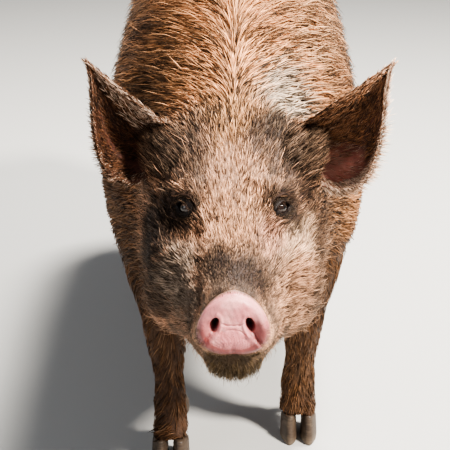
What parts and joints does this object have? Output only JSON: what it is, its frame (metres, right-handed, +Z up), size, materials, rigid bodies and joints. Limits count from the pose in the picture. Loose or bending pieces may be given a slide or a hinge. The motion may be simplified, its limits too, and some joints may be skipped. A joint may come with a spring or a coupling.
{
  "type": "domestic pig",
  "caption": "Life-size standing pig with a bristly ginger and brown coat, round bare snout disc, wide pointed ears and a loosely curled tail, made as a still figure.",
  "frame": {"origin": "on the floor under the middle of the bounding box", "axes": "+Z up, the snout towards -Y, the animal's left side towards +X"},
  "size_m": [0.3934, 1.3924, 0.7208],
  "materials": {
    "coat": "bristly hair",
    "ear": "short hair on thin skin",
    "snout": "moist bare skin",
    "eye": "polished, opaque",
    "horn": "worn horn"
  },
  "bodies": {
    "root": {"head": "coat", "jaw": "coat", "neck": "coat", "chest": "coat", "belly": "coat", "rump": "coat", "tail": "coat", "foreleg_left": "coat", "foreleg_right": "coat", "hindleg_left": "coat", "hindleg_right": "coat", "forefoot_left": "coat", "forefoot_right": "coat", "hindfoot_left": "coat", "hindfoot_right": "coat", "ear_left": "ear", "ear_right": "ear", "eye_left": "eye", "eye_right": "eye", "snout": "snout", "claw_fore_left_a": "horn", "claw_fore_left_b": "horn", "claw_fore_right_a": "horn", "claw_fore_right_b": "horn", "claw_hind_left_a": "horn", "claw_hind_left_b": "horn", "claw_hind_right_a": "horn", "claw_hind_right_b": "horn", "dewclaw_fore_left_a": "horn", "dewclaw_fore_left_b": "horn", "dewclaw_fore_right_a": "horn", "dewclaw_fore_right_b": "horn", "dewclaw_hind_left_a": "horn", "dewclaw_hind_left_b": "horn", "dewclaw_hind_right_a": "horn", "dewclaw_hind_right_b": "horn"}
  },
  "joints": []
}
